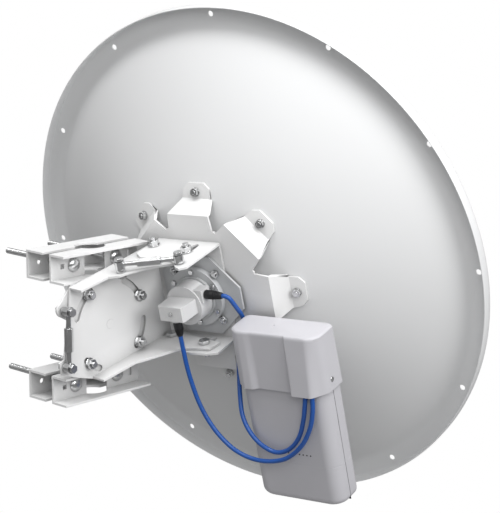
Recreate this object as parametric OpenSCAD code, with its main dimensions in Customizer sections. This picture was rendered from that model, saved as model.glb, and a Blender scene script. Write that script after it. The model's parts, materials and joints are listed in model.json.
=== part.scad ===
// Outdoor point-to-point wireless bridge: a 700 mm parabolic reflector with its feed, a radio unit
// behind it, and an adjustable bracket that clamps to a vertical mast.
// Origin: on the mast axis, midway between the two clamps. +Z runs up the mast.
// +Y runs along the clamp channels towards the reflector. All lengths are in millimetres.

/* [Mast clamps] */
// Diameter of the mast that the clamp notches fit
mast_d = 40; // [38:0.5:42]
// Height between the centres of the two clamps
clamp_pitch = 157; // [150:1:170]
// Length of each clamp channel
channel_len = 146; // [140:1:156]
// Height of each clamp channel
channel_h = 37; // [34:1:40]
// Thickness of the bracket sheet steel
sheet = 3; // [2.5:0.1:3]

/* [Aiming] */
// Elevation of the reflector as stored
elev_rest = 14.3; // [10:0.1:16]
// Turn of the reflector about its azimuth pivot as stored
az_rest = 10; // [6:0.5:12]

/* [Reflector] */
// Outer diameter of the reflector's rim
dish_d = 700; // [690:1:705]
// Diameter of the circle of rim holes
rim_hole_pcd = 673; // [665:1:678]
// Depth of the reflector from its rim plane to its vertex
dish_depth = 116; // [112:1:118]
// Height of the rim's turned-back lip
lip_h = 16; // [12:1:18]

/* [Radio unit] */
// Width of the radio unit
radio_w = 126; // [120:1:126]
// Length of the radio's body below the hood's roof
radio_len = 236; // [225:1:240]
// Depth of the radio's body
radio_d = 43; // [41:1:43]
// Length of the sliding cable hood
hood_len = 78; // [72:1:80]

/* [Jumper cables] */
// Outer diameter of each cable
cable_d = 6; // [5:0.1:6.2]

/* [Hidden] */
mast_r = mast_d / 2;
fine = 48;

// clamp channels: distance of each web and flange edge from the mast axis
near_web_x = 6.5;
near_edge_x = 34;
jaw_web_x = -38.5;
jaw_edge_x = -6.5;
bolt_y = 35.5;
bolt_r = 4;
bolt_tip_x = -123;

// fixed pivot plate and the elevation bracket that turns against it
plate_x = 31.2;
gap = 0.3;
web_x = plate_x + sheet + gap;
web_face_x = web_x + sheet;
flange_edge_x = 60;
elev_top_z = 72;
elev_bottom_z = -57;
lock_r = 58;
lock_angles = [31, -33, 130, -129];
slot_spans = [34, 30, 34, 20];
slot_w = 9;
stud_r = 6;
adjust_x = 45;
pin_upper = [-76, 30];
pin_lower = [-76, -42];

// azimuth pivot and reflector centre
az_x = 50;
az_y = 87;
dish_x = 44;
dish_y = 151.5;
dish_z = 1.5;
az_slot_r = 60;
az_adjust_z = 82;
az_pin_left = [66, 12];
az_pin_right = [28, 196];

// heights above the rim plane, measured along the reflector's axis towards the back
bracket_h = 131;
star_h = 128;
flange_h = bracket_h + sheet;
flange_screw_r = 35.5;
rim_flat_r = 323;
rim_t = 1.6;
star_bolt_r = 129;
feed_r = 27;
focus_h = dish_depth - rim_flat_r * rim_flat_r / (4 * dish_depth);

// radio unit
radio_x = 137;
radio_top = -22;
radio_back_h = 140;
radio_front_h = radio_back_h + radio_d;
split_h = 160;
hood_top = -19;
jack_x = [174, 186];
jack_h = 178;
jack_z = -36;

// ---- frames -----------------------------------------------------------------------------------
module elev_frame() rotate([elev_rest, 0, 0]) children();
module az_frame() elev_frame() translate([az_x, az_y, 0]) rotate([0, 0, az_rest]) children();
// reflector frame: x to the right, y up the reflector, z out of its back
module dish_frame() az_frame() translate([dish_x, dish_y, dish_z]) rotate([90, 0, 0]) children();

// ---- shared shapes ----------------------------------------------------------------------------
module along_x(x) translate([x, 0, 0]) rotate([90, 0, 90]) children();
module hex_prism(across, h) cylinder(d = across / cos(30), h = h, $fn = 6);
module washer(r, bore, t) difference() {
    cylinder(r = r, h = t, $fn = fine);
    translate([0, 0, -1]) cylinder(r = bore, h = t + 2, $fn = fine);
}
module hex_nut(across, bore, h) difference() {
    hex_prism(across, h);
    translate([0, 0, -1]) cylinder(r = bore, h = h + 2, $fn = fine);
}
// slot with round ends that follows an arc about the origin
module arc_slot(r, w, a0, a1) {
    steps = 10;
    function spot(rad, a) = rad * [cos(a), sin(a)];
    polygon(concat(
        [for (i = [0:steps]) spot(r + w / 2, a0 + (a1 - a0) * i / steps)],
        [for (k = [1:7]) spot(r, a1) + spot(w / 2, a1 + 180 * k / 8)],
        [for (i = [steps:-1:0]) spot(r - w / 2, a0 + (a1 - a0) * i / steps)],
        [for (k = [1:7]) spot(r, a0) + spot(w / 2, a0 + 180 + 180 * k / 8)]));
}
// flat outline with rounded corners: back corners and front corners have their own radius
module rounded_slab(w, h0, h1, rb, rf) {
    translate([-w / 2, h0 + rb]) square([w, h1 - h0 - rb - rf]);
    translate([-w / 2 + rb, h0]) square([w - 2 * rb, rb]);
    translate([-w / 2 + rf, h1 - rf]) square([w - 2 * rf, rf]);
    for (s = [-1, 1]) {
        translate([s * (w / 2 - rb), h0 + rb]) circle(r = rb, $fn = fine);
        translate([s * (w / 2 - rf), h1 - rf]) circle(r = rf, $fn = fine);
    }
}
// extrudes an (x, h) outline along the reflector's y direction
module run_y(y0, y1) translate([0, y1, 0]) rotate([90, 0, 0]) linear_extrude(y1 - y0) children();

// ---- mast clamps ------------------------------------------------------------------------------
module channel(x0, x1) difference() {
    translate([x0, -channel_len / 2, -channel_h / 2]) cube([x1 - x0, channel_len, channel_h]);
    translate([x0 + sheet, -channel_len, -channel_h / 2 + sheet])
        cube([x1 - x0, 2 * channel_len, channel_h - 2 * sheet]);
    translate([0, 0, -channel_h]) cylinder(r = mast_r, h = 2 * channel_h, $fn = 96);
}
module near_channel(s) color("white") translate([0, 0, s * clamp_pitch / 2]) difference() {
    channel(near_web_x, near_edge_x);
    for (y = [-bolt_y, bolt_y]) translate([near_web_x - 1, y - bolt_r - 0.1, -bolt_r - 0.1])
        cube([sheet + 2, 2 * bolt_r + 0.2, 2 * bolt_r + 0.2]);
    translate([near_web_x - 1, -57, -3]) cube([sheet + 2, 6, 6]);
    translate([near_web_x - 1, 56, -6]) cube([sheet + 2, 5, 12]);
}
module jaw(s) color("white") translate([0, 0, s * clamp_pitch / 2]) difference() {
    channel(jaw_web_x, jaw_edge_x);
    for (y = [-bolt_y, bolt_y]) translate([0, y, 0])
        along_x(jaw_web_x - 1) cylinder(r = bolt_r + 0.5, h = sheet + 2, $fn = fine);
    for (y = [-54, 54]) translate([0, y, 0])
        along_x(jaw_web_x - 1) cylinder(r = 3.5, h = sheet + 2, $fn = fine);
}
module upper_channel() near_channel(1);
module lower_channel() near_channel(-1);
module upper_jaw() jaw(1);
module lower_jaw() jaw(-1);
module clamp_bolts() color("silver") for (s = [-1, 1], y = [-bolt_y, bolt_y])
    translate([0, y, s * clamp_pitch / 2]) {
        along_x(bolt_tip_x) cylinder(r = bolt_r, h = near_web_x + sheet - bolt_tip_x, $fn = fine);
        translate([near_web_x, -bolt_r, -bolt_r]) cube([sheet, 2 * bolt_r, 2 * bolt_r]);
        along_x(near_web_x + sheet) intersection() {
            cylinder(r = 9, h = 4.5, $fn = fine);
            translate([0, 0, -8.5]) sphere(r = 13, $fn = fine);
        }
    }
module jaw_nuts(s) color("silver") for (y = [-bolt_y, bolt_y])
    translate([0, y, s * clamp_pitch / 2]) {
        along_x(jaw_web_x - 1.6) washer(8.5, bolt_r + 0.05, 1.6);
        along_x(jaw_web_x - 8.4) hex_nut(13, bolt_r + 0.05, 6.8);
    }
module upper_jaw_nuts() jaw_nuts(1);
module lower_jaw_nuts() jaw_nuts(-1);
module pivot_plate() color("white") difference() {
    half = clamp_pitch / 2 - channel_h / 2;
    along_x(plate_x) linear_extrude(sheet) {
        polygon([[-62, -half], [72, -half], [72, half], [-62, half], [-80, 38], [-80, 22], [-62, 12]]);
        translate(pin_upper) circle(r = 9, $fn = fine);
    }
    for (a = lock_angles) translate([plate_x - 1, lock_r * cos(a), lock_r * sin(a)])
        rotate([0, 90, 0]) cylinder(r = bolt_r + 0.05, h = sheet + 2, $fn = fine);
    along_x(plate_x - 1) cylinder(r = stud_r, h = sheet + 2, $fn = fine);
    translate([plate_x - 1, pin_upper[0], pin_upper[1]])
        rotate([0, 90, 0]) cylinder(r = 3.05, h = sheet + 2, $fn = fine);
}

// flush stud on which the elevation bracket turns
module pivot_stud() color("white") along_x(plate_x - 1.5) {
    cylinder(r = stud_r + 4, h = 1.5, $fn = fine);
    cylinder(r = stud_r, h = web_face_x + 0.2 - plate_x + 1.5, $fn = fine);
}

// ---- elevation lock and bracket -----------------------------------------------------------------
module elevation_lock_bolts() color("silver") for (a = lock_angles)
    translate([0, lock_r * cos(a), lock_r * sin(a)]) {
        along_x(plate_x - 3) cylinder(r = 7, h = 3, $fn = fine);
        along_x(plate_x) cylinder(r = bolt_r, h = 18, $fn = fine);
    }
module elevation_lock_nuts() color("silver") for (a = lock_angles)
    translate([0, lock_r * cos(a), lock_r * sin(a)]) {
        along_x(web_face_x + gap) washer(7.5, bolt_r + 0.05, 1.4);
        along_x(web_face_x + gap + 1.4) hex_nut(12, bolt_r + 0.05, 6);
    }
// outlines of the two elevation flanges, seen from above; the lower one leaves room for a cable
top_outline = [[0, -50], [24, -50], [26, -6], [38, 3], [42, 14], [52, 32], [70, 50], [85, 62],
    [93, 74], [93, 98], [0, 98]];
bottom_outline = [[0, -46], [24, -46], [26, 8], [41, 36], [49, 52], [57, 64], [75, 72], [93, 77],
    [93, 98], [0, 98]];
module elevation_flange(z, outline) elev_frame() translate([web_x, 0, z])
    linear_extrude(sheet) polygon(outline);
module elevation_bracket() color("white") difference() {
    union() {
        elev_frame() along_x(web_x) linear_extrude(sheet) {
            polygon([[-50, elev_top_z], [98, elev_top_z], [98, elev_bottom_z], [-46, elev_bottom_z],
                [-70, -44], [-92, -30], [-92, -14], [-83, -13], [-57, 52]]);
        }
        elevation_flange(elev_top_z - sheet, top_outline);
        elevation_flange(elev_bottom_z, bottom_outline);
    }
    for (i = [0:3]) along_x(web_x - 1) linear_extrude(sheet + 2)
        arc_slot(lock_r, slot_w, lock_angles[i] - 5.5, lock_angles[i] + slot_spans[i]);
    translate([web_x - 1, pin_lower[0], pin_lower[1]])
        rotate([0, 90, 0]) cylinder(r = 3.05, h = sheet + 2, $fn = fine);
    along_x(web_x - 1) cylinder(r = stud_r + 0.05, h = sheet + 2, $fn = fine);
    elev_frame() for (p = [[az_x, az_y], [az_x + az_slot_r, az_y]])
        translate([p[0], p[1], -100]) cylinder(r = bolt_r + 0.05, h = 200, $fn = fine);
    elev_frame() translate([az_pin_left[0], az_pin_left[1], 0])
        cylinder(r = 3.05, h = 100, $fn = fine);
}
module azimuth_bolt() {
    color("silver") for (s = [-1, 1]) {
        inner = s > 0 ? elev_top_z - sheet : elev_bottom_z + sheet;
        translate([0, 0, inner]) mirror([0, 0, s > 0 ? 0 : 1]) {
            translate([0, 0, -5]) hex_prism(13, 5);
            cylinder(r = bolt_r, h = 18, $fn = fine);
            translate([0, 0, 2 * sheet + 2 * gap]) washer(8, bolt_r + 0.05, 1.5);
            translate([0, 0, 2 * sheet + 2 * gap + 1.5]) hex_nut(13, bolt_r + 0.05, 6);
        }
    }
}
module azimuth_pivot_bolts() elev_frame() translate([az_x, az_y, 0]) azimuth_bolt();
module azimuth_lock_bolts() elev_frame() translate([az_x + az_slot_r, az_y, 0]) azimuth_bolt();

// ---- turnbuckles: each has two screwed eyes and a hexagonal adjuster between them -------------------
pin_fit = 0.05;
free_fit = 0.6;
eye_r = 6.5;
eye_h = 10;
adjuster_len = 30;
// each adjuster's screws stop this far short of its middle
elev_stop = 10;
az_stop = 11;
// eye at the origin with its screw along +x
module screwed_eye(reach, slack) color("silver") difference() {
    union() {
        translate([0, 0, -eye_h / 2]) cylinder(r = eye_r, h = eye_h, $fn = fine);
        rotate([0, 90, 0]) cylinder(r = 3, h = reach, $fn = fine);
    }
    translate([0, 0, -eye_h]) cylinder(r = 3 + slack, h = 2 * eye_h, $fn = fine);
}
module adjuster(mid) color("silver") translate([mid - adjuster_len / 2, 0, 0]) rotate([0, 90, 0])
    difference() {
        hex_prism(10, adjuster_len);
        translate([0, 0, -1]) cylinder(r = 3.05, h = adjuster_len + 2, $fn = fine);
    }
// shouldered pin along z with its head at the top: stand-off, eye, head
module eye_pin(base, eye_z, tail, shoulder) color("silver") {
    low = eye_z - eye_h / 2 - gap;
    high = eye_z + eye_h / 2 + gap;
    translate([0, 0, base]) cylinder(r = shoulder, h = low - base, $fn = fine);
    translate([0, 0, base - tail]) cylinder(r = 3, h = high - base + tail, $fn = fine);
    translate([0, 0, high]) hex_prism(10, 4);
    translate([0, 0, base - tail]) hex_prism(10, tail - sheet);
}
elev_vec = pin_lower - pin_upper;
elev_len = norm(elev_vec);
// x axis from the upper pin to the lower pin, z axis along the pins
module elev_link() translate([adjust_x, pin_upper[0], pin_upper[1]])
    multmatrix([[0, 0, 1, 0], [elev_vec[0] / elev_len, -elev_vec[1] / elev_len, 0, 0],
        [elev_vec[1] / elev_len, elev_vec[0] / elev_len, 0, 0]]) children();
module elevation_eye_upper() elev_link() screwed_eye(elev_len / 2 - elev_stop, pin_fit);
module elevation_eye_lower() elev_link() translate([elev_len, 0, 0]) rotate([0, 0, 180])
    screwed_eye(elev_len / 2 - elev_stop, free_fit);
module elevation_adjuster() elev_link() adjuster(elev_len / 2);
module x_pin(p, face, shoulder) translate([0, p[0], p[1]]) rotate([0, 90, 0])
    eye_pin(face, adjust_x, sheet + 5, shoulder);
module elevation_pin_upper() x_pin(pin_upper, plate_x + sheet, 4);
module elevation_pin_lower() x_pin(pin_lower, web_face_x, 6);

// place of the right azimuth pin in the elevation frame
right_local = [dish_x + az_pin_right[0], dish_y - az_pin_right[1]];
right_pin = [az_x + right_local[0] * cos(az_rest) - right_local[1] * sin(az_rest),
    az_y + right_local[0] * sin(az_rest) + right_local[1] * cos(az_rest)];
az_vec = right_pin - az_pin_left;
az_len = norm(az_vec);
module az_link() elev_frame() translate([az_pin_left[0], az_pin_left[1], az_adjust_z])
    rotate([0, 0, atan2(az_vec[1], az_vec[0])]) children();
module azimuth_eye_left() az_link() screwed_eye(az_len / 2 - az_stop, pin_fit);
module azimuth_eye_right() az_link() translate([az_len, 0, 0]) rotate([0, 0, 180])
    screwed_eye(az_len / 2 - az_stop, free_fit);
module azimuth_adjuster() az_link() adjuster(az_len / 2);
module azimuth_pin_left() elev_frame() translate([az_pin_left[0], az_pin_left[1], 0])
    eye_pin(elev_top_z, az_adjust_z, sheet + 5, 6);
module azimuth_pin_right() elev_frame() translate([right_pin[0], right_pin[1], 0])
    eye_pin(elev_top_z + gap + sheet, az_adjust_z, sheet + 5, 5.5);

// ---- azimuth bracket: a back plate folded into two flanges, and the plate that carries the feed ------
az_top = elev_top_z + gap - dish_z;
az_bottom = elev_bottom_z - gap - dish_z;
az_left = -53;
az_right = 44;
az_top_outline = [[az_left, star_h], [az_right, star_h], [az_right, 204], [36, 211], [28, 207],
    [18, 196], [8, 188], [-40, 188], [az_left, 178]];
az_bottom_outline = [[az_left, star_h], [az_right, star_h], [az_right, 176], [30, 182], [8, 184],
    [-40, 184], [az_left, 176]];
module az_holes() {
    translate([-dish_x, dish_y]) circle(r = bolt_r + 0.05, $fn = fine);
    translate([-dish_x, dish_y]) arc_slot(az_slot_r, slot_w, az_rest - 19, az_rest + 5);
}
module az_flange(y, outline) translate([0, y + sheet, 0]) rotate([90, 0, 0]) linear_extrude(sheet)
    difference() {
        polygon(outline);
        az_holes();
    }
module azimuth_bracket() color("white") dish_frame() difference() {
    union() {
        az_flange(az_top, az_top_outline);
        az_flange(az_bottom - sheet, az_bottom_outline);
        translate([az_left, az_bottom, star_h])
            cube([az_right - az_left, az_top - az_bottom, sheet]);
    }
    translate([0, 0, 100]) cylinder(r = 30, h = 60, $fn = fine);
    for (a = [45:90:315]) rotate(a) translate([46, 0, 100]) cylinder(r = 3.05, h = 60, $fn = fine);
    translate([az_pin_right[0], 0, az_pin_right[1]]) rotate([-90, 0, 0])
        cylinder(r = 3.05, h = 100, $fn = fine);
}
module feed_plate() color("lightgray") dish_frame() translate([0, 0, bracket_h]) difference() {
    linear_extrude(sheet) polygon([[66, -15], [66, 15], [26, 54], [-26, 54], [-53, 28], [-53, -28],
        [-26, -54], [26, -54]]);
    translate([0, 0, -1]) cylinder(r = 28, h = sheet + 2, $fn = fine);
    for (a = [45:90:315]) rotate(a) translate([46, 0, -1])
        cylinder(r = 3.05, h = sheet + 2, $fn = fine);
    for (a = [30:60:330]) rotate(a) translate([flange_screw_r, 0, -1])
        cylinder(r = 2.05, h = sheet + 2, $fn = fine);
}
module bracket_bolts() color("silver") dish_frame() for (a = [45:90:315]) rotate(a)
    translate([46, 0, star_h - sheet - 4]) {
        hex_prism(10, 4);
        cylinder(r = 3, h = 10 + 3 * sheet, $fn = fine);
        translate([0, 0, 4 + 3 * sheet]) hex_prism(10, 4);
    }

// ---- star bracket and reflector ---------------------------------------------------------------------
dome = function (r) dish_depth * (1 - pow(r / rim_flat_r, 2));
fold_r = 109;
foot_r = 121;
tab_r = 141;
tab_tilt = atan(2 * dish_depth * star_bolt_r / pow(rim_flat_r, 2));
function tab_h(r) = dome(star_bolt_r) - (r - star_bolt_r) * tan(tab_tilt) + gap / 3;
// one arm's side view: flat plate, steep facet down to the reflector, tab along its surface
arm_side = [[40, star_h], [fold_r, star_h], [foot_r + 1, tab_h(foot_r + 1) + sheet],
    [tab_r, tab_h(tab_r) + sheet], [tab_r, tab_h(tab_r)], [foot_r - 2, tab_h(foot_r - 2)],
    [fold_r - 2, star_h - sheet], [40, star_h - sheet]];
module star_bracket() color("white") dish_frame() difference() {
    union() {
        translate([0, 0, star_h - sheet]) linear_extrude(sheet)
            polygon([for (a = [22.5:45:337.5]) 95 * [cos(a), sin(a)]]);
        for (a = [0:45:315]) rotate(a) intersection() {
            translate([0, 40, 0]) rotate([90, 0, 0]) linear_extrude(80) polygon(arm_side);
            linear_extrude(200) polygon([[40, -30], [84, -34], [fold_r, -31.5], [foot_r, -22],
                [tab_r - 7, -20], [tab_r, -12], [tab_r, 12], [tab_r - 7, 20], [foot_r, 22],
                [fold_r, 31.5], [84, 34], [40, 30]]);
        }
    }
    translate([0, 0, 50]) cylinder(r = 30, h = 100, $fn = fine);
    for (a = [45:90:315]) rotate(a) translate([46, 0, 100]) cylinder(r = 3.05, h = 60, $fn = fine);
    for (a = [0:45:315]) rotate(a) star_bolt_place() translate([0, 0, -10])
        cylinder(r = 3.05, h = 30, $fn = fine);
    for (y = [-48, -64]) translate([79, y, 100]) cylinder(r = 2.55, h = 60, $fn = fine);
}
tab_top = (sheet + gap / 3) * cos(tab_tilt);
module star_bolt_place() translate([star_bolt_r, 0, dome(star_bolt_r)]) rotate([0, tab_tilt, 0])
    children();
module star_bolts() color("silver") dish_frame() for (a = [0:45:315]) rotate(a) star_bolt_place() {
    translate([0, 0, -rim_t - 2.25]) cylinder(r = 6, h = 2, $fn = fine);
    translate([0, 0, -rim_t - 1]) cylinder(r = 3, h = 13, $fn = fine);
}
module star_nuts() color("silver") dish_frame() for (a = [0:45:315]) rotate(a) star_bolt_place() {
    translate([0, 0, tab_top]) washer(5.8, 3.05, 1.2);
    translate([0, 0, tab_top + 1.2]) hex_nut(9.5, 3.05, 5);
}
dome_steps = 16;
dome_in = 28;
dome_r = [for (i = [0:dome_steps]) dome_in + (rim_flat_r - dome_in) * i / dome_steps];
module reflector() color("white") dish_frame() difference() {
    rotate_extrude($fn = 144) polygon(concat(
        [for (r = dome_r) [r, dome(r)]],
        [[dish_d / 2 - rim_t, 0], [dish_d / 2 - rim_t, lip_h], [dish_d / 2, lip_h], [dish_d / 2, -rim_t]],
        [for (i = [dome_steps:-1:0]) [dome_r[i], dome(dome_r[i]) - rim_t]]));
    for (a = [0:30:330]) rotate(a) translate([rim_hole_pcd / 2, 0, -10])
        cylinder(r = 3.8, h = 20, $fn = fine);
    for (a = [0:45:315]) rotate(a) star_bolt_place() translate([0, 0, -10])
        cylinder(r = 3.05, h = 30, $fn = fine);
}

// ---- feed -------------------------------------------------------------------------------------------

module feed_flange() color("gainsboro") dish_frame() difference() {
    union() {
        translate([0, 0, flange_h]) cylinder(r = 40, h = 8, $fn = 96);
        translate([0, 0, flange_h + 8]) cylinder(r = 30, h = 3, $fn = 96);
        translate([0, 0, dish_depth + 1]) cylinder(r = feed_r, h = flange_h - dish_depth - 1, $fn = 96);
    }
    translate([0, 0, 100]) cylinder(r = 20.05, h = 100, $fn = fine);
    for (a = [30:60:330]) rotate(a) translate([flange_screw_r, 0, 120])
        cylinder(r = 2.05, h = 40, $fn = fine);
}
module feed_flange_screws() color("silver") dish_frame() for (a = [30:60:330]) rotate(a)
    translate([flange_screw_r, 0, flange_h - sheet]) {
        cylinder(r = 2, h = 8 + sheet, $fn = fine);
        translate([0, 0, 8 + sheet]) cylinder(r = 3.4, h = 2.6, $fn = fine);
    }
block_top = 12;
block_bottom = -8;
block_half = 19;
block_back_h = 200;
module feed_housing() color("whitesmoke") dish_frame() difference() {
    union() {
        translate([0, 0, flange_h + 11]) cylinder(r = 27, h = 24, $fn = 96);
        run_y(block_bottom, block_top) polygon([[-block_half - 1, 165], [block_half + 1, 165],
            [block_half, block_back_h - 3], [block_half - 2, block_back_h - 3],
            [-block_half + 2, block_back_h - 3], [-block_half, block_back_h - 3]]);
        translate([12, 5, 149]) cube([feed_r + 2 - 12, 17, 18]);
        translate([0, block_bottom - 2, 189]) rotate([90, 0, 0]) translate([0, 0, -3])
            cylinder(r = 7, h = 5, $fn = fine);
    }
    translate([0, 0, flange_h]) cylinder(r = 20.05, h = 32, $fn = fine);
    run_y(block_bottom + 3, block_top - 3) polygon([[-block_half + 3, 170], [block_half - 3, 170],
        [block_half - 3, 199], [-block_half + 3, 199]]);
    translate([11, 14, 158]) rotate([0, 90, 0]) cylinder(r = 3.05, h = 24, $fn = fine);
    translate([0, -3, 189]) rotate([90, 0, 0]) cylinder(r = 3.05, h = 12, $fn = fine);
}
module feed_cover() color("whitesmoke") dish_frame() difference() {
    run_y(block_bottom, block_top) polygon([[-block_half, block_back_h - 3],
        [block_half, block_back_h - 3], [block_half - 1.5, block_back_h],
        [-block_half + 1.5, block_back_h]]);
    translate([0, 2, 190]) cylinder(r = 1.6, h = 20, $fn = fine);
}
module feed_cover_screw() color("silver") dish_frame() translate([0, 2, block_back_h]) {
    cylinder(r = 2.8, h = 1.6, $fn = fine);
    translate([0, 0, -2.9]) cylinder(r = 1.5, h = 3, $fn = fine);
}
tube_end_h = focus_h + 14;
module feed_tube() color("silver") dish_frame() difference() {
    translate([0, 0, tube_end_h]) cylinder(r = 20, h = flange_h + 30 - tube_end_h, $fn = 96);
    translate([0, 0, tube_end_h - 1]) cylinder(r = 18, h = flange_h + 40 - tube_end_h, $fn = 96);
    translate([8, 14, 158]) rotate([0, 90, 0]) cylinder(r = 2.5, h = 14, $fn = fine);
}
module subreflector() color("silver") dish_frame() translate([0, 0, focus_h - 12])
    rotate_extrude($fn = 96) polygon([[0, 0], [42, 0], [42, 2], [34, 3], [20, 6], [8, 10], [0, 12]]);
module feed_radome() color("whitesmoke") dish_frame() difference() {
    translate([0, 0, focus_h - 14.5]) rotate_extrude($fn = 96)
        polygon([[0, 0], [44, 0], [45, 2], [45, 14], [30, 28], [22.3, 31], [22.3, 50], [0, 50]]);
    translate([0, 0, focus_h - 12]) rotate_extrude($fn = 96)
        polygon([[0, 0], [42.3, 0], [42.3, 11], [28, 24], [20.05, 26], [20.05, 60], [0, 60]]);
}
module feed_probes() color("gold") dish_frame() {
    translate([10, 14, 158]) rotate([0, 90, 0]) cylinder(r = 0.7, h = 12.9, $fn = fine);
    translate([0, 3, 189]) rotate([90, 0, 0]) cylinder(r = 0.7, h = 9.9, $fn = fine);
}
module jack_body() difference() {
    union() {
        cylinder(r = 3, h = 6, $fn = fine);
        translate([0, 0, 6]) cylinder(r = 3.9, h = 4, $fn = fine);
    }
    translate([0, 0, -1]) cylinder(r = 0.75, h = 2, $fn = fine);
}
side_jack = [feed_r - 4, 14, 158];
bottom_jack = [0, block_bottom + 1, 189];
module feed_jacks() color("goldenrod") dish_frame() {
    translate(side_jack) rotate([0, 90, 0]) jack_body();
    translate(bottom_jack) rotate([90, 0, 0]) jack_body();
}
// moulded boot over each feed plug: a sleeve over the jack's end that tapers to the cable
module boot(len) color("black") difference() {
    union() {
        cylinder(r = 6, h = len - 8, $fn = fine);
        translate([0, 0, len - 8]) cylinder(r1 = 6, r2 = 4, h = 8, $fn = fine);
    }
    translate([0, 0, -1]) cylinder(r = 3.95, h = 5, $fn = fine);
}
side_boot_len = 26;
bottom_boot_len = 20;
module boot_side() dish_frame() translate([side_jack[0] + 6, side_jack[1], side_jack[2]])
    rotate([0, 90, 0]) boot(side_boot_len);
module boot_bottom() dish_frame() translate([bottom_jack[0], bottom_jack[1] - 6, bottom_jack[2]])
    rotate([90, 0, 0]) boot(bottom_boot_len);

// ---- jumper cables: route points in the reflector frame, each from a feed plug to the radio ------------
side_route = [[55, 14, 158], [59, 14, 158], [64, 11, 157], [66, 4, 154], [67, -6, 149],
    [67, -18, 142], [65, -30, 137], [61, -44, 135], [56, -59, 137], [52, -74, 141], [52, -89, 147],
    [56, -104, 157], [62, -122, 170], [70, -142, 183], [81, -161, 189], [97, -177, 191],
    [118, -185, 191], [140, -177, 191], [158, -157, 191], [169, -131, 191], [174, -111, 190],
    [176, -98, 188], [175, -84, 183], [174, -72, 179], [174, -62, 178]];
bottom_route = [[0, -33, 189], [0, -40, 189], [1, -54, 190], [3, -74, 192], [6, -96, 193],
    [13, -124, 195], [23, -148, 196], [37, -170, 196], [57, -188, 196], [82, -197, 196],
    [109, -197, 196], [137, -188, 196], [162, -167, 195], [178, -141, 193], [185, -117, 191],
    [186, -98, 188], [186, -84, 183], [186, -72, 179], [186, -62, 178]];
// smooth curve through four route points, between the middle two
function spline(p, q, r, s, t) = 0.5 * (2 * q + (r - p) * t + (2 * p - 5 * q + 4 * r - s) * t * t
    + (3 * q - p - 3 * r + s) * t * t * t);
function curve(route, per) = let (n = len(route)) concat(
    [for (i = [0:n - 2], k = [0:per - 1]) spline(route[max(i - 1, 0)], route[i], route[i + 1],
        route[min(i + 2, n - 1)], k / per)], [route[n - 1]]);
function unit(v) = v / norm(v);
function tangent(path, i) = unit(path[min(i + 1, len(path) - 1)] - path[max(i - 1, 0)]);
function side_of(t, u) = unit(u - t * (u * t));
function sides(path, i, u) = i == 0 ? [side_of(tangent(path, 0), u)]
    : let (before = sides(path, i - 1, u)) concat(before, [side_of(tangent(path, i), before[i - 1])]);
module cord(route, r, per, n) {
    path = curve(route, per);
    last = len(path) - 1;
    across = sides(path, last, [0, 0.1, 1]);
    points = [for (i = [0:last], k = [0:n - 1]) let (u = across[i], v = cross(tangent(path, i), u))
        path[i] + r * (cos(360 * k / n) * u + sin(360 * k / n) * v)];
    polyhedron(points, concat(
        [for (i = [0:last - 1], k = [0:n - 1]) [i * n + k, (i + 1) * n + k,
            (i + 1) * n + (k + 1) % n, i * n + (k + 1) % n]],
        [[for (k = [0:n - 1]) k]], [[for (k = [n - 1:-1:0]) last * n + k]]));
}
module cable_side() color("royalblue") dish_frame() cord(side_route, cable_d / 2, 2, 10);
module cable_bottom() color("royalblue") dish_frame() cord(bottom_route, cable_d / 2, 2, 10);

// ---- radio unit -------------------------------------------------------------------------------------
radio_bottom = radio_top - radio_len;
wall = 2.5;
pocket_x = [140, 196];
pocket_floor_h = 172;
radio_screw_x = [102, 162];
module radio_outline(inset) translate([radio_x, 0])
    rounded_slab(radio_w - 2 * inset, radio_back_h + inset, radio_front_h - inset, 6 - inset, 17 - inset);
module radio_solid() run_y(radio_bottom, radio_top) radio_outline(0);
module radio_cavity() difference() {
    run_y(radio_bottom + wall, radio_top - wall) radio_outline(wall);
    translate([pocket_x[0] - wall, hood_top - hood_len - wall, pocket_floor_h - wall])
        cube([100, jack_z + wall - hood_top + hood_len + wall, 50]);
}
module radio_pocket() translate([pocket_x[0], hood_top - hood_len, pocket_floor_h])
    cube([pocket_x[1] - pocket_x[0], jack_z - hood_top + hood_len, 50]);
module radio_rear_shell() color("thistle") dish_frame() difference() {
    union() {
        difference() {
            intersection() {
                radio_solid();
                translate([0, -400, 0]) cube([400, 400, split_h]);
            }
            radio_cavity();
        }
        for (x = [radio_x - 46, radio_x + 46], y = [radio_bottom + 14, radio_top - 18])
            translate([x, y, radio_back_h + 1]) cylinder(r = 3.5, h = 9, $fn = fine);
    }
    for (x = radio_screw_x) translate([x, -78, 100]) cylinder(r = 2.05, h = 50, $fn = fine);
}
module radio_front_shell() color("thistle") dish_frame() difference() {
    intersection() {
        radio_solid();
        translate([0, -400, split_h + 1]) cube([400, 400, 400]);
    }
    radio_cavity();
    radio_pocket();
    for (x = jack_x) translate([x, jack_z - 1, jack_h]) rotate([-90, 0, 0])
        cylinder(r = 3.05, h = wall + 2, $fn = fine);
    translate([146, jack_z - 1, 174]) cube([16, 4, 8]);
    for (i = [0:7]) translate([126 + 5.5 * i, -188, radio_front_h - 5])
        cylinder(r = 1.05, h = 10, $fn = fine);
}
module radio_gasket() color("dimgray") dish_frame() translate([0, 0, split_h])
    run_gasket();
module run_gasket() intersection() {
    difference() {
        translate([0, 0, -split_h]) run_y(radio_bottom + 0.6, radio_top - 0.6) radio_outline(0.6);
        translate([0, 0, -split_h]) run_y(radio_bottom + wall, radio_top - wall) radio_outline(wall);
    }
    translate([0, -400, 0]) cube([400, 400, 1]);
}
module radio_board() color("darkgreen") dish_frame()
    translate([radio_x - 52, radio_bottom + 8, 150]) cube([104, radio_len - 20, 1.6]);
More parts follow.
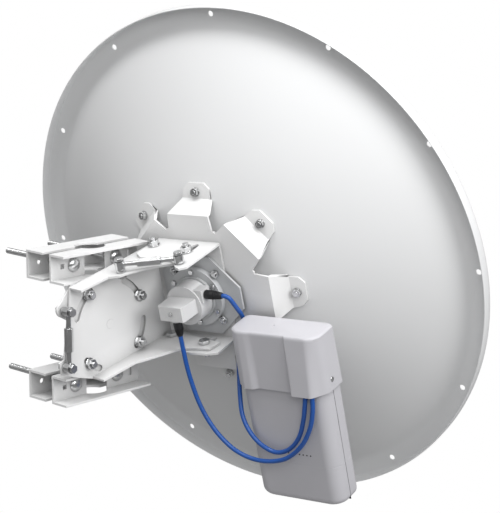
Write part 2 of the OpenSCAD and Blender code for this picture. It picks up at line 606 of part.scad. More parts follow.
module radio_shield() color("silver") dish_frame() difference() {
    translate([radio_x - 40, -215, 151.6]) cube([80, 90, 8]);
    translate([radio_x - 39.4, -214.4, 151]) cube([78.8, 88.8, 8]);
}
module radio_jacks() color("goldenrod") dish_frame() for (x = jack_x)
    translate([x, jack_z + wall, jack_h]) rotate([90, 0, 0]) difference() {
        union() {
            cylinder(r = 3, h = wall + 6, $fn = fine);
            translate([0, 0, wall]) cylinder(r = 5, h = 2, $fn = 6);
        }
        translate([0, 0, 4.5]) cylinder(r = 2, h = 8, $fn = fine);
    }
module radio_plugs() color("goldenrod") dish_frame() for (x = jack_x)
    translate([x, jack_z - 6, jack_h]) rotate([90, 0, 0])
        difference() {
            union() {
                cylinder(r = 5, h = 9, $fn = fine);
                translate([0, 0, 9]) cylinder(r = 3.6, h = 11, $fn = fine);
            }
            translate([0, 0, -1]) cylinder(r = 3.02, h = 3, $fn = fine);
        }
module ethernet_jack() color("gray") dish_frame() difference() {
    translate([146.2, jack_z - 0.5, 174.2]) cube([15.6, 11, 6.2]);
    translate([148, jack_z - 1, 175.4]) cube([12, 9, 3.8]);
}
module light_pipes() color("dimgray") dish_frame() for (i = [0:7])
    translate([126 + 5.5 * i, -188, radio_front_h - 4]) cylinder(r = 1, h = 4.2, $fn = fine);

// hood: flared shell that slides over the radio's upper end and hides its plugs
hood_bottom = hood_top - hood_len;
module hood_section(y, pts) translate([0, y, 0]) rotate([90, 0, 0]) linear_extrude(0.5) polygon(pts);
function hood_ring(grow, rib) = let (w = radio_w / 2 + 1 + grow, b = radio_back_h - 1 - grow,
    f = radio_front_h + 1 + grow) [
    [radio_x - w + 6, b], [radio_x + w - 6, b], [radio_x + w - 2, b + 2], [radio_x + w, b + 6],
    [radio_x + w, f - 15], [radio_x + w - 3, f - 5 + rib / 3], [194, f + rib - 1], [190, f + rib],
    [173, f + rib], [167, f + rib / 4], [radio_x - 40, f + rib / 4], [radio_x - w + 11, f - 2],
    [radio_x - w + 3, f - 8], [radio_x - w, f - 15], [radio_x - w, b + 6], [radio_x - w + 2, b + 2]];
module hood() color("thistle") dish_frame() difference() {
    hull() {
        hood_section(hood_top, hood_ring(1, 2));
        hood_section(hood_bottom + 0.5, hood_ring(2.8, 8));
    }
    run_y(hood_bottom - 1, hood_top - 2.5) radio_outline(-0.6);
    hull() {
        hood_section(hood_top - 4, [[168, 175], [196, 175], [193, 185.5], [171, 185.5]]);
        hood_section(hood_bottom - 0.2, [[168, 175], [196, 175], [193, 192], [171, 192]]);
    }
    translate([84, hood_bottom - 1, 100]) cube([106, hood_len - 4, 60]);
    translate([202, hood_bottom + 14, 164]) rotate([0, 90, 0]) cylinder(r = 3.6, h = 10, $fn = fine);
    translate([190, hood_bottom + 14, 164]) rotate([0, 90, 0]) cylinder(r = 1.6, h = 20, $fn = fine);
}
module hood_screw() color("silver") dish_frame() translate([202, hood_bottom + 14, 164])
    rotate([0, 90, 0]) {
        cylinder(r = 3.5, h = 2.4, $fn = fine);
        translate([0, 0, -1.6]) cylinder(r = 1.5, h = 2, $fn = fine);
    }
module radio_bracket() color("white") dish_frame() difference() {
    union() {
        translate([72, -84, star_h]) cube([14, 44, sheet]);
        translate([86, -84, star_h]) cube([sheet, 44, radio_back_h - star_h]);
        translate([86, -98, radio_back_h - sheet]) cube([98, 58, sheet]);
    }
    for (y = [-48, -64]) translate([79, y, 100]) cylinder(r = 2.55, h = 50, $fn = fine);
    for (x = radio_screw_x) translate([x, -78, 100]) cylinder(r = 2.05, h = 50, $fn = fine);
}
module radio_screws() color("silver") dish_frame() {
    for (y = [-48, -64]) translate([79, y, star_h - sheet - 3]) {
        cylinder(r = 2.5, h = 2 * sheet + 3, $fn = fine);
        hex_prism(8, 3);
        translate([0, 0, 2 * sheet + 3]) cylinder(r = 4, h = 2.4, $fn = fine);
    }
    for (x = radio_screw_x) translate([x, -78, radio_back_h - sheet - 2.4]) {
        cylinder(r = 4, h = 2.4, $fn = fine);
        cylinder(r = 2, h = sheet + 2.4 + wall + 2, $fn = fine);
    }
}

upper_channel();
lower_channel();
pivot_plate();
pivot_stud();
clamp_bolts();
elevation_lock_bolts();
elevation_lock_nuts();
elevation_pin_upper();
upper_jaw();
lower_jaw();
upper_jaw_nuts();
lower_jaw_nuts();
elevation_bracket();
azimuth_pivot_bolts();
azimuth_lock_bolts();
elevation_pin_lower();
azimuth_pin_left();
elevation_eye_upper();
elevation_adjuster();
elevation_eye_lower();
azimuth_eye_left();
azimuth_adjuster();
azimuth_eye_right();
azimuth_pin_right();
azimuth_bracket();
feed_plate();
bracket_bolts();
star_bracket();
star_bolts();
star_nuts();
reflector();
feed_flange();
feed_flange_screws();
feed_housing();
feed_cover();
feed_cover_screw();
feed_tube();
subreflector();
feed_radome();
feed_probes();
feed_jacks();
boot_side();
boot_bottom();
cable_side();
cable_bottom();
radio_bracket();
radio_screws();
radio_rear_shell();
radio_front_shell();
radio_gasket();
radio_board();
radio_shield();
radio_jacks();
radio_plugs();
ethernet_jack();
light_pipes();
hood();
hood_screw();
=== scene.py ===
import json
import bpy
import bmesh
from math import radians, sin, cos, pi
from mathutils import Matrix, Vector


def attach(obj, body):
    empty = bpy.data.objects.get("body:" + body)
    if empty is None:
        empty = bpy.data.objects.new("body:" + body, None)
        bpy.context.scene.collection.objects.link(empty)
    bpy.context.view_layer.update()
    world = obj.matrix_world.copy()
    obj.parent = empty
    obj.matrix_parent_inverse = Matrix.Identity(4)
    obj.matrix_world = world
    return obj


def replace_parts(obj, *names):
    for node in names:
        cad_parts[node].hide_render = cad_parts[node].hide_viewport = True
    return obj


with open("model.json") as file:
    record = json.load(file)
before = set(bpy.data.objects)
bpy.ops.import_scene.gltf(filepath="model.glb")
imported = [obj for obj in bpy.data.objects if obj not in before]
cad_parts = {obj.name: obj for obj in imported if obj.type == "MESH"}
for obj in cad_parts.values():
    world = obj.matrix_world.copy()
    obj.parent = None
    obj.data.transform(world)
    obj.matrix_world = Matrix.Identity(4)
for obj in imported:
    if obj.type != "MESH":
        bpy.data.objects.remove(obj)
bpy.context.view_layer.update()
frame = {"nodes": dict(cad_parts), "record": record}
nodes = frame["nodes"]

# ---- frames: local coordinates are millimetres, and each frame turns them into the object's metres ------
MM = Matrix.Scale(0.001, 4)
REST_TILT, REST_TURN = 14.3, 10
ELEV = MM @ Matrix.Rotation(radians(REST_TILT), 4, "X")
AZ = ELEV @ Matrix.Translation((50, 87, 0)) @ Matrix.Rotation(radians(REST_TURN), 4, "Z")
# x right and y up across the reflector's back, z out of it towards the mast
DISH = AZ @ Matrix.Translation((44, 151.5, 1.5)) @ Matrix.Rotation(radians(90), 4, "X")


# ---- camera --------------------------------------------------------------------------------------------
VIEW_AZIMUTH, VIEW_ELEVATION, VIEW_ROLL = 43.359, 11.455, 0.146
EYE = (1.5993, -1.3946, 0.5109)
cam = bpy.data.objects.new("camera", bpy.data.cameras.new("camera"))
bpy.context.scene.collection.objects.link(cam)
cam.matrix_world = (Matrix.Translation(EYE) @ Matrix.Rotation(radians(VIEW_AZIMUTH), 4, "Z")
                    @ Matrix.Rotation(radians(90 - VIEW_ELEVATION), 4, "X")
                    @ Matrix.Rotation(radians(VIEW_ROLL), 4, "Z"))
cam.data.lens = 117.95
cam.data.sensor_width = 36
cam.data.clip_end = 50
bpy.context.scene.camera = cam


# ---- materials -----------------------------------------------------------------------------------------
def material(name, rgb, rough, metal=0.0, grain=0.0, grain_size=0.0006, tint=0.04, tint_size=0.06,
             rough_var=0.06, painted_shade=0.0, painted_shade_reach=0.008, coat=0.0, streak=None):
    """Procedural finish: fine surface grain, slow colour drift, uneven gloss and painted shade that darkens
    the colour in corners.

    Sizes are in metres: grain_size of the bumps, tint_size of the colour patches, and the reach of the
    painted shade in corners. streak stretches the grain along one axis, as on turned metal.
    """
    m = bpy.data.materials.new(name)
    m.use_nodes = True
    nt = m.node_tree
    b = nt.nodes["Principled BSDF"]
    link = nt.links.new
    b.inputs["Metallic"].default_value = metal
    b.inputs["Coat Weight"].default_value = coat
    b.inputs["Coat Roughness"].default_value = 0.15
    co = nt.nodes.new("ShaderNodeTexCoord")
    drift = nt.nodes.new("ShaderNodeTexNoise")
    drift.inputs["Scale"].default_value = 1 / tint_size
    drift.inputs["Detail"].default_value = 5
    link(co.outputs["Object"], drift.inputs["Vector"])
    ramp = nt.nodes.new("ShaderNodeMapRange")
    ramp.inputs["From Min"].default_value = 0.3
    ramp.inputs["From Max"].default_value = 0.7
    ramp.inputs["To Min"].default_value = 1 - tint
    ramp.inputs["To Max"].default_value = 1 + tint / 3
    link(drift.outputs["Fac"], ramp.inputs["Value"])
    mul = nt.nodes.new("ShaderNodeVectorMath")
    mul.operation = "SCALE"
    mul.inputs[0].default_value = rgb
    link(ramp.outputs["Result"], mul.inputs["Scale"])
    colour = mul.outputs["Vector"]
    # painted shade: the base colour is darkened where ambient occlusion finds other surfaces close by, in
    # corners, creases and recesses
    if painted_shade:
        ao = nt.nodes.new("ShaderNodeAmbientOcclusion")
        ao.samples = 4
        ao.inputs["Distance"].default_value = painted_shade_reach
        painted_shade_ramp = nt.nodes.new("ShaderNodeMapRange")
        painted_shade_ramp.inputs["From Min"].default_value = 0.2
        painted_shade_ramp.inputs["From Max"].default_value = 0.9
        painted_shade_ramp.inputs["To Min"].default_value = 1 - painted_shade
        painted_shade_ramp.inputs["To Max"].default_value = 1.0
        link(ao.outputs["AO"], painted_shade_ramp.inputs["Value"])
        mul2 = nt.nodes.new("ShaderNodeVectorMath")
        mul2.operation = "SCALE"
        link(colour, mul2.inputs[0])
        link(painted_shade_ramp.outputs["Result"], mul2.inputs["Scale"])
        colour = mul2.outputs["Vector"]
    link(colour, b.inputs["Base Color"])
    gloss = nt.nodes.new("ShaderNodeTexNoise")
    gloss.inputs["Scale"].default_value = 3 / tint_size
    gloss.inputs["Detail"].default_value = 3
    link(co.outputs["Object"], gloss.inputs["Vector"])
    spread = nt.nodes.new("ShaderNodeMapRange")
    spread.inputs["To Min"].default_value = max(rough - rough_var, 0.03)
    spread.inputs["To Max"].default_value = rough + rough_var
    link(gloss.outputs["Fac"], spread.inputs["Value"])
    link(spread.outputs["Result"], b.inputs["Roughness"])
    if grain:
        tex = nt.nodes.new("ShaderNodeTexNoise")
        tex.inputs["Scale"].default_value = 1 / grain_size
        tex.inputs["Detail"].default_value = 2
        src = co.outputs["Object"]
        if streak:
            mp = nt.nodes.new("ShaderNodeMapping")
            mp.inputs["Scale"].default_value = streak
            link(src, mp.inputs["Vector"])
            src = mp.outputs["Vector"]
        link(src, tex.inputs["Vector"])
        bump = nt.nodes.new("ShaderNodeBump")
        bump.inputs["Strength"].default_value = grain
        bump.inputs["Distance"].default_value = 0.0002
        link(tex.outputs["Fac"], bump.inputs["Height"])
        link(bump.outputs["Normal"], b.inputs["Normal"])
    return m


# painted shade: the coat, zinc, feed and radio finishes below have their colour painted darker in corners and
# recesses
M = {
    "coat": material("coat", (0.80, 0.80, 0.80), 0.38, grain=0.12, grain_size=0.0012, tint=0.03, painted_shade=0.55,
                     painted_shade_reach=0.025),
    "reflector_coat": material("reflector_coat", (0.76, 0.765, 0.77), 0.34, grain=0.05, grain_size=0.0015,
                               tint=0.015, tint_size=0.2, rough_var=0.03),
    "zinc": material("zinc", (0.74, 0.745, 0.75), 0.2, metal=1.0, grain=0.1, grain_size=0.0005, tint=0.12,
                     tint_size=0.01, rough_var=0.08, painted_shade=0.7, painted_shade_reach=0.004),
    "alloy": material("alloy", (0.70, 0.70, 0.71), 0.32, metal=1.0, grain=0.15, grain_size=0.0008, tint=0.05,
                      streak=(1, 1, 12)),
    "feed_metal": material("feed_metal", (0.60, 0.61, 0.62), 0.42, metal=0.25, grain=0.2, grain_size=0.0009,
                           tint=0.05, painted_shade=0.3),
    "feed_plastic": material("feed_plastic", (0.72, 0.72, 0.725), 0.42, grain=0.15, grain_size=0.0007,
                             tint=0.02, painted_shade=0.25),
    "radio_plastic": material("radio_plastic", (0.53, 0.525, 0.555), 0.46, grain=0.25, grain_size=0.0006,
                              tint=0.025, painted_shade=0.25),
    "boot_rubber": material("boot_rubber", (0.012, 0.012, 0.014), 0.5, grain=0.2, grain_size=0.0007, tint=0.2,
                            tint_size=0.01),
    "cable_jacket": material("cable_jacket", (0.012, 0.085, 0.36), 0.32, grain=0.12, grain_size=0.001,
                             tint=0.1, tint_size=0.03, coat=0.15),
    "plug_metal": material("plug_metal", (0.62, 0.48, 0.22), 0.25, metal=1.0, grain=0.1, tint=0.1,
                           tint_size=0.01, streak=(1, 1, 8)),
    "board": material("board", (0.01, 0.12, 0.04), 0.4, grain=0.3, grain_size=0.001, tint=0.3,
                      tint_size=0.01),
    "smoked_plastic": material("smoked_plastic", (0.02, 0.02, 0.025), 0.2, grain=0.05, tint=0.1),
}
node_slot = {s["node"]: s["material_slot"] for s in frame["record"]["subparts"]}
body_of = {node: body for body, inside in frame["record"]["behaviour"]["bodies"].items() for node in inside}


# ---- mesh helpers --------------------------------------------------------------------------------------
def add(name, verts, faces, place, slot, body, smooth=40):
    """One new piece from local vertices, put in its frame."""
    me = bpy.data.meshes.new(name)
    me.from_pydata([place @ Vector(v) for v in verts], [], faces)
    return finish_mesh(name, me, slot, body, smooth)


def finish_mesh(name, me, slot, body, smooth=40):
    """Object with outward faces, creases above smooth degrees, its finish and its body."""
    bm = bmesh.new()
    bm.from_mesh(me)
    bmesh.ops.recalc_face_normals(bm, faces=bm.faces)
    for f in bm.faces:
        f.smooth = True
    limit = radians(smooth)
    for e in bm.edges:
        e.smooth = len(e.link_faces) == 2 and e.calc_face_angle(0) < limit
    bm.to_mesh(me)
    bm.free()
    ob = bpy.data.objects.new(name, me)
    bpy.context.scene.collection.objects.link(ob)
    me.materials.clear()
    me.materials.append(M[slot])
    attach(ob, body)
    return ob


def loft(rings, cap=True):
    """Closed rings of equal size joined into one solid."""
    n = len(rings[0])
    verts = [p for r in rings for p in r]
    faces = []
    for i in range(len(rings) - 1):
        for k in range(n):
            faces.append((i * n + k, i * n + (k + 1) % n, (i + 1) * n + (k + 1) % n, (i + 1) * n + k))
    if cap:
        faces.append(tuple(range(n))[::-1])
        faces.append(tuple((len(rings) - 1) * n + k for k in range(n)))
    return verts, faces


def lathe(profile, segs=48, closed=False):
    """Profile of (r, z) turned about z; its ends are capped, or joined when closed."""
    rings = [[(r * cos(2 * pi * k / segs), r * sin(2 * pi * k / segs), z) for k in range(segs)]
             for r, z in profile]
    if closed:
        verts, faces = loft(rings, cap=False)
        last = segs * (len(rings) - 1)
        for k in range(segs):
            faces.append((last + k, last + (k + 1) % segs, (k + 1) % segs, k))
        return verts, faces
    return loft(rings)


def moved(part, m):
    verts, faces = part
    return [m @ Vector(v) for v in verts], faces


def joined(parts):
    """Several (verts, faces) parts as one."""
    verts, faces = [], []
    for v, f in parts:
        base = len(verts)
        verts += list(v)
        faces += [tuple(i + base for i in face) for face in f]
    return verts, faces


def cut(ob, cutter_parts, place):
    """Takes the cutter solids away from ob's mesh."""
    verts, faces = joined(cutter_parts)
    me = bpy.data.meshes.new("cutter")
    me.from_pydata([place @ Vector(v) for v in verts], [], faces)
    bm = bmesh.new()
    bm.from_mesh(me)
    bmesh.ops.recalc_face_normals(bm, faces=bm.faces)
    bm.to_mesh(me)
    bm.free()
    tool = bpy.data.objects.new("cutter", me)
    bpy.context.scene.collection.objects.link(tool)
    mod = ob.modifiers.new("cut", "BOOLEAN")
    mod.operation = "DIFFERENCE"
    mod.solver = "EXACT"
    mod.object = tool
    dg = bpy.context.evaluated_depsgraph_get()
    out = bpy.data.meshes.new_from_object(ob.evaluated_get(dg))
    ob.modifiers.clear()
    ob.data = out
    bpy.data.objects.remove(tool)
    bm = bmesh.new()
    bm.from_mesh(out)
    for f in bm.faces:
        f.smooth = True
    for e in bm.edges:
        e.smooth = len(e.link_faces) == 2 and e.calc_face_angle(0) < radians(35)
    bm.to_mesh(out)
    bm.free()


def refine(node, width, segs):
    """A copy of the CAD node with its edges rounded by width millimetres."""
    src = nodes[node]
    me = src.data.copy()
    me.name = node + "_fine"
    me.transform(src.matrix_world)
    bm = bmesh.new()
    bm.from_mesh(me)
    bmesh.ops.remove_doubles(bm, verts=bm.verts, dist=2e-6)
    bmesh.ops.dissolve_limit(bm, angle_limit=radians(0.6), verts=bm.verts, edges=bm.edges)
    bm.to_mesh(me)
    bm.free()
    ob = finish_mesh(node + "_fine", me, node_slot[node], body_of[node], smooth=32)
    mod = ob.modifiers.new("round", "BEVEL")
    mod.width = width / 1000
    mod.segments = segs
    mod.limit_method = "ANGLE"
    mod.angle_limit = radians(28)
    mod.use_clamp_overlap = True
    mod.harden_normals = False
    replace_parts(ob, node)


# ---- jumper cables -------------------------------------------------------------------------------------
SIDE_ROUTE = [
    (55, 14, 158), (59, 14, 158), (64, 11, 157), (66, 4, 154), (67, -6, 149), (67, -18, 142),
    (65, -30, 137), (61, -44, 135), (56, -59, 137), (52, -74, 141), (52, -89, 147), (56, -104, 157),
    (62, -122, 170), (70, -142, 183), (81, -161, 189), (97, -177, 191), (118, -185, 191),
    (140, -177, 191), (158, -157, 191), (169, -131, 191), (174, -111, 190), (176, -98, 188),
    (175, -84, 183), (174, -72, 179), (174, -62, 178)]
BOTTOM_ROUTE = [
    (0, -33, 189), (0, -40, 189), (1, -54, 190), (3, -74, 192), (6, -96, 193), (13, -124, 195),
    (23, -148, 196), (37, -170, 196), (57, -188, 196), (82, -197, 196), (109, -197, 196),
    (137, -188, 196), (162, -167, 195), (178, -141, 193), (185, -117, 191), (186, -98, 188),
    (186, -84, 183), (186, -72, 179), (186, -62, 178)]


def spline(route, per):
    """Smooth curve through the route's points, with per steps between each two."""
    pts = []
    n = len(route)
    for i in range(n - 1):
        p, q, r, s = (Vector(route[max(i - 1, 0)]), Vector(route[i]), Vector(route[i + 1]),
                      Vector(route[min(i + 2, n - 1)]))
        for k in range(per):
            t = k / per
            pts.append(0.5 * (2 * q + (r - p) * t + (2 * p - 5 * q + 4 * r - s) * t * t
                              + (3 * q - p - 3 * r + s) * t ** 3))
    pts.append(Vector(route[-1]))
    return pts


CABLE_R = 3


def cable(name, route, node):
    """Jumper cable along a route; returns its length in metres."""
    pts = [DISH @ p for p in spline(route, 6)]
    cu = bpy.data.curves.new(name, "CURVE")
    cu.dimensions = "3D"
    cu.bevel_depth = CABLE_R / 1000
    cu.bevel_resolution = 6
    cu.use_fill_caps = True
    sp = cu.splines.new("POLY")
    sp.points.add(len(pts) - 1)
    for a, p in zip(sp.points, pts):
        a.co = (*p, 1)
    sp.use_smooth = True
    ob = bpy.data.objects.new(name, cu)
    bpy.context.scene.collection.objects.link(ob)
    cu.materials.append(M["cable_jacket"])
    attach(ob, "dish_body")
    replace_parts(ob, node)
    length = sum((b - a).length for a, b in zip(pts, pts[1:]))
    return length


def boot(name, node, start, direction, length):
    """Strain relief: a plain sleeve, then ribs that taper to the cable."""
    prof = [(3.92, 0), (5.2, 0), (5.8, 0.5), (6, 1.2), (6, length * 0.42)]
    taper = length * 0.45
    z = taper
    while z < length - 2.6:
        r = 6 - 2.0 * (z - taper) / (length * 0.55)
        prof += [(r - 0.8, z), (r - 0.8, z + 0.6), (r - 0.1, z + 0.8), (r - 0.1, z + 1.7)]
        z += 2.2
    prof += [(4, length - 1.2), (3.7, length), (0.1, length)]
    m = Matrix.Translation(start) @ (Matrix.Rotation(radians(90), 4, "Y") if direction == "x"
                                     else Matrix.Rotation(radians(90), 4, "X"))
    v, f = moved(lathe(prof, 40), m)
    ob = add(name, v, f, DISH, "boot_rubber", "dish_body", 50)
    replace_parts(ob, node)
    return ob


boots = [boot("side_boot_fine", "boot_side", (29, 14, 158), "x", 26),
         boot("bottom_boot_fine", "boot_bottom", (0, -13, 189), "y", 20)]
side_len = cable("side_cable", SIDE_ROUTE, "cable_side")
bottom_len = cable("bottom_cable", BOTTOM_ROUTE, "cable_bottom")


# ---- reflector -----------------------------------------------------------------------------------------
RIM_FLAT, DEPTH, SHEET = 323.0, 116.0, 1.6
CENTRE_HOLE, DOME_END, DOME_STEPS = 28, RIM_FLAT - 6, 60
FILLET, FILLET_STEPS = 12, 8
RIM_HOLES, RIM_HOLE_R, RIM_HOLE_CIRCLE = 12, 3.9, 336.5


def dome(r):
    """Height of the reflector's back at radius r."""
    return DEPTH * (1 - (r / RIM_FLAT) ** 2)


dome_r = [CENTRE_HOLE + (DOME_END - CENTRE_HOLE) * i / DOME_STEPS for i in range(DOME_STEPS + 1)]
fillet = [(DOME_END + FILLET * i / FILLET_STEPS, dome(DOME_END) * (1 - i / FILLET_STEPS) ** 2)
          for i in range(FILLET_STEPS + 1)]
# the lip turns up round the edge and has a rolled foot
lip = [(345.5, 0), (347.3, 0.5), (348.3, 1.6), (348.4, 3), (348.4, 15.4), (348.8, 16), (349.6, 16),
       (350, 15.4), (350, 2.2), (349.6, 0), (348.6, -1.0), (347, -1.55), (345.5, -1.6)]
outer = [(r, dome(r)) for r in dome_r] + fillet[1:] + lip
inner = [(r, h - SHEET) for r, h in reversed(fillet)] + [(r, dome(r) - SHEET) for r in dome_r[-2::-1]]
v, f = lathe(outer + inner, 192, closed=True)
reflector = add("reflector_fine", v, f, DISH, "reflector_coat", "dish_body", 38)
drill = []
for k in range(RIM_HOLES):
    a = 2 * pi * k / RIM_HOLES
    drill.append(moved(lathe([(0.01, -8), (RIM_HOLE_R, -8), (RIM_HOLE_R, 8), (0.01, 8)], 24),
                       Matrix.Translation((RIM_HOLE_CIRCLE * cos(a), RIM_HOLE_CIRCLE * sin(a), 0))))
cut(reflector, drill, DISH)
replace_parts(reflector, "reflector")


# ---- clamp bolts: domed carriage bolts with cut threads --------------------------------------------------
BOLT_R, ROOT_R, PITCH = 4.0, 3.55, 1.25
BOLT_TIP, THREAD_END = 123, 12
BOLT_Y, BOLT_Z = 35.5, 78.5


def bolt(y, z):
    """Bolt along -x through (0, y, z): threaded shank, square neck, domed head."""
    m = Matrix.Translation((0, y, z)) @ Matrix.Rotation(radians(-90), 4, "Y")
    prof = [(0.01, BOLT_TIP), (3.2, BOLT_TIP), (3.9, BOLT_TIP - 0.8)]
    x = BOLT_TIP - 1.4
    while x > THREAD_END:
        prof += [(BOLT_R, x), (ROOT_R, x - 0.62)]
        x -= PITCH
    prof += [(BOLT_R, 10.6), (BOLT_R, -6.5), (0.01, -6.5)]
    shank = moved(lathe(prof, 24), m)
    head = moved(lathe([(0.01, -9.5), (9.2, -9.5), (9.6, -10), (9.6, -10.6), (8.9, -11.6), (7.4, -12.8),
                        (5.2, -13.7), (2.6, -14.1), (0.01, -14.2)], 40), m)
    square = [(-BOLT_R, -BOLT_R), (BOLT_R, -BOLT_R), (BOLT_R, BOLT_R), (-BOLT_R, BOLT_R)]
    neck = moved(loft([[(a, b, -9.6) for a, b in square], [(a, b, -6) for a, b in square]]), m)
    return joined([shank, head, neck])


v, f = joined([bolt(y, z) for y in (-BOLT_Y, BOLT_Y) for z in (-BOLT_Z, BOLT_Z)])
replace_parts(add("clamp_bolts_fine", v, f, MM, "zinc", "mast_bracket", 34), "clamp_bolts")


# ---- radio unit ----------------------------------------------------------------------------------------
def smooth_step(a, b, x):
    """0 below a, 1 above b, with an even ease between."""
    t = min(max((x - a) / (b - a), 0), 1)
    return t * t * (3 - 2 * t)


def section(x0, x1, h0, h1, rb, rf, front=None, n=10):
    """Closed (x, h) outline with rounded back and front corners; front lifts the front face."""
    pts = []
    corners = ((x0 + rb, h0 + rb, rb, 270), (x0 + rf, h1 - rf, rf, 180), (x1 - rf, h1 - rf, rf, 90),
               (x1 - rb, h0 + rb, rb, 0))
    for cx, ch, r, a0 in corners:
        for i in range(n + 1):
            a = radians(a0 - 90 * i / n)
            pts.append((cx + r * cos(a), ch + r * sin(a)))
        if a0 == 180:
            span = x1 - x0 - 2 * rf
            for i in range(1, 60):
                pts.append((x0 + rf + span * i / 60, h1))
    if front:
        pts = [(x, h + front(x) * smooth_step(h1 - rf, h1, h)) for x, h in pts]
    return pts


def ring(pts, y):
    return [(x, y, h) for x, h in pts]


XC, HW = 137.0, 63.0                    # the radio's middle and half width
R_TOP, R_BOTTOM = -22.0, -258.0
R_BACK, R_FRONT = 140, 183
BACK_ROUND, FRONT_ROUND = 6, 17
SEAM = -203                             # groove across the lower cap
END_ROUND = 9


def body_ring(y, inset, lo, hi):
    """The radio's outline at y, drawn in by inset and kept between the heights lo and hi."""
    pts = section(XC - HW + inset, XC + HW - inset, R_BACK + inset * 0.6, R_FRONT - inset * 0.6,
                  BACK_ROUND, FRONT_ROUND)
    return ring([(x, min(max(h, lo), hi)) for x, h in pts], y)


def half_shell(name, lo, hi, node):
    rings = [body_ring(R_TOP, 0.6, lo, hi), body_ring(R_TOP - 0.6, 0, lo, hi)]
    rings += [body_ring(y, i, lo, hi) for y, i in (
        (-60, 0), (-100, 0), (-140, 0), (-180, 0), (SEAM + 0.4, 0), (SEAM + 0.2, 0.3), (SEAM - 0.3, 0.3),
        (SEAM - 0.5, 0), (-225, 0))]
    for i in range(9):
        a = radians(90 * i / 8)
        rings.append(body_ring(R_BOTTOM + END_ROUND * (1 - sin(a)), END_ROUND * (1 - cos(a)) * 0.75, lo, hi))
    v, f = loft(rings)
    ob = add(name, v, f, DISH, "radio_plastic", "dish_body", 30)
    bm = bmesh.new()
    bm.from_mesh(ob.data)
    bmesh.ops.remove_doubles(bm, verts=bm.verts, dist=2e-6)
    bm.to_mesh(ob.data)
    bm.free()
    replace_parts(ob, node)
    return ob


def slab(x0, x1, y0, y1, h0, h1):
    """Plain box between two corners."""
    return loft([[(x0, y, h0), (x1, y, h0), (x1, y, h1), (x0, y, h1)] for y in (y0, y1)])


# the shells meet on the gasket, and the front one has a pocket for the jacks under the hood
front_shell = half_shell("front_shell_fine", 161, 190, "radio_front_shell")
cut(front_shell, [slab(140, 196, -97, -36, 172, 200)], DISH)
half_shell("rear_shell_fine", 130, 160, "radio_rear_shell")


def flutes(t):
    """How far the hood's front stands proud at x, for t from 0 at its roof to 1 at its lower edge."""
    ridge, rib = 1.2 + 3.6 * t, 1.6 + 7.2 * t

    def lift(x):
        left = smooth_step(80, 88, x) * (1 - smooth_step(95 + 3 * t, 108, x))
        rise = smooth_step(155, 158 + 2 * t, x) * (1 - smooth_step(186, 199, x))
        return ridge * left + rib * rise
    return lift


HOOD_TOP, HOOD_LEN = -19.0, 78.0
ROOF_ROUND, ROOF_SHARE = 3.2, 0.03


def hood_ring(t):
    """The hood's outline, for t from 0 at its roof to 1 at its lower edge."""
    inset = ROOF_ROUND * (1 - min(t / ROOF_SHARE, 1)) ** 2
    w = HW + 2.2 + 1.8 * t - inset
    pts = section(XC - w, XC + w, 138 + inset * 0.3, 185.5 + t * 0.8 - inset * 0.4, 7, FRONT_ROUND, flutes(t))
    return ring(pts, HOOD_TOP - HOOD_LEN * t)


levels = [0, 0.004, 0.012, 0.03, 0.06, 0.1] + [0.1 + 0.9 * i / 12 for i in range(1, 13)]
v, f = loft([hood_ring(t) for t in levels])
hood = add("hood_fine", v, f, DISH, "radio_plastic", "hood_body", 34)


def bore_ring(y):
    """The room inside the hood, a little wider than the radio."""
    return ring(section(XC - HW - 0.6, XC + HW + 0.6, R_BACK - 0.6, R_FRONT + 0.6, BACK_ROUND,
                        FRONT_ROUND + 0.2), y)


# room for the cables behind the hood's rib, an open back, and a dimple in its roof
rib_room = loft([ring([(168, 175), (194, 175), (189, 185.6), (171, 185.6)], -23),
                 ring([(165, 175), (194, 175), (190, 192), (167, 192)], -98)])
cut(hood, [loft([bore_ring(-99), bore_ring(-21.5)])], DISH)
cut(hood, [rib_room], DISH)
cut(hood, [slab(84, 190, -99, -23, 120, 150)], DISH)
dimple = lathe([(0.01, -20.2), (1.2, -20.0), (2.4, -18), (0.01, -18)], 24)
cut(hood, [moved(dimple, Matrix.Translation((127, 0, 160)) @ Matrix.Rotation(radians(-90), 4, "X"))], DISH)
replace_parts(hood, "hood")

# ---- copies of the CAD nodes with rounded edges -----------------------------------------------------------
FOLDED_SHEET = ("upper_channel", "lower_channel", "upper_jaw", "lower_jaw", "pivot_plate",
                "elevation_bracket", "azimuth_bracket", "star_bracket", "radio_bracket", "feed_plate")
CASTINGS = ("feed_flange", "feed_housing", "feed_cover", "feed_radome")
FASTENERS = ("elevation_lock_bolts", "elevation_lock_nuts", "elevation_pin_upper", "upper_jaw_nuts",
             "lower_jaw_nuts", "azimuth_pivot_bolts", "azimuth_lock_bolts", "elevation_pin_lower",
             "azimuth_pin_left", "azimuth_pin_right", "elevation_eye_upper", "elevation_adjuster",
             "elevation_eye_lower", "azimuth_eye_left", "azimuth_adjuster", "azimuth_eye_right",
             "bracket_bolts", "star_bolts", "star_nuts", "feed_flange_screws", "hood_screw", "radio_screws",
             "feed_cover_screw")
for group, width, segs in ((FOLDED_SHEET, 0.45, 2), (CASTINGS, 0.9, 3), (FASTENERS, 0.4, 2)):
    for node in group:
        refine(node, width, segs)
for name, ob in nodes.items():
    ob.data.materials.clear()
    ob.data.materials.append(M[node_slot[name]])

# ---- studio --------------------------------------------------------------------------------------------
scene = bpy.context.scene
WORLD_LIGHT = 0.5       # the room's light from every side, though it looks white
FLOOR_BOUNCE = 0.3      # share of light that the floor gives back, though it looks white
FLOOR_Z = -1.2          # the unit hangs on a mast, well above the floor
FLOOR_HALF = 40
AIM = Vector((0.05, 0.15, 0))


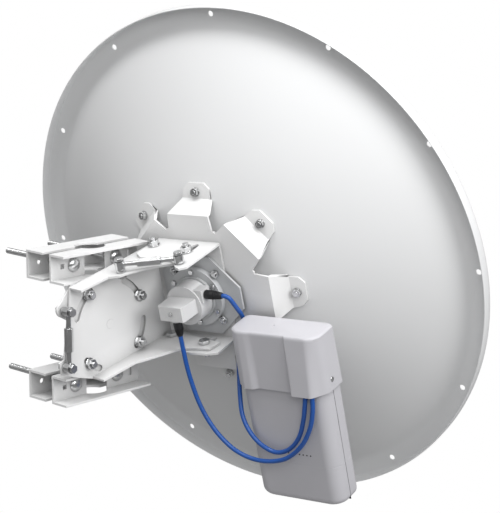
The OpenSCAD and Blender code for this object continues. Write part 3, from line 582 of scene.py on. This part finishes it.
def seen_white(tree, lighting, seen, target):
    """Lights the object with one shader and shows another where nothing stands in front."""
    path = tree.nodes.new("ShaderNodeLightPath")
    mix = tree.nodes.new("ShaderNodeMixShader")
    tree.links.new(path.outputs["Is Camera Ray"], mix.inputs[0])
    tree.links.new(lighting.outputs[0], mix.inputs[1])
    tree.links.new(seen.outputs[0], mix.inputs[2])
    tree.links.new(mix.outputs[0], target.inputs[0])


world = bpy.data.worlds.new("world")
scene.world = world
world.use_nodes = True
room = world.node_tree.nodes["Background"]
room.inputs[0].default_value = (1, 1, 1, 1)
room.inputs[1].default_value = WORLD_LIGHT
wall = world.node_tree.nodes.new("ShaderNodeBackground")
wall.inputs[0].default_value = (1, 1, 1, 1)
seen_white(world.node_tree, room, wall, world.node_tree.nodes["World Output"])


def area(name, where, size, watts):
    lamp = bpy.data.lights.new(name, "AREA")
    lamp.shape = "DISK"
    lamp.size = size
    lamp.energy = watts
    ob = bpy.data.objects.new(name, lamp)
    scene.collection.objects.link(ob)
    ob.location = where
    ob.rotation_euler = (AIM - Vector(where)).to_track_quat("-Z", "Y").to_euler()


area("top", (0.1, -0.9, 2.5), 1.1, 30)
area("upper_right", (1.6, -0.3, 2.2), 1.2, 23)
area("right", (2.4, 0.1, 0.9), 1.2, 24)
area("front", (2.2, -1.6, 1.5), 1.4, 19)
area("behind", (-1.2, 2.8, 1.4), 1.6, 30)

me = bpy.data.meshes.new("floor")
me.from_pydata([(a * FLOOR_HALF, b * FLOOR_HALF, FLOOR_Z) for a, b in ((-1, -1), (1, -1), (1, 1), (-1, 1))],
               [], [(0, 1, 2, 3)])
floor = bpy.data.objects.new("floor", me)
scene.collection.objects.link(floor)
pale = bpy.data.materials.new("floor")
pale.use_nodes = True
tree = pale.node_tree
tree.nodes.clear()
bounce = tree.nodes.new("ShaderNodeBsdfDiffuse")
bounce.inputs["Color"].default_value = (FLOOR_BOUNCE, FLOOR_BOUNCE, FLOOR_BOUNCE, 1)
white = tree.nodes.new("ShaderNodeEmission")
white.inputs["Color"].default_value = (1, 1, 1, 1)
white.inputs["Strength"].default_value = 1.0
seen_white(tree, bounce, white, tree.nodes.new("ShaderNodeOutputMaterial"))
me.materials.append(pale)
scene.view_settings.view_transform = "Standard"
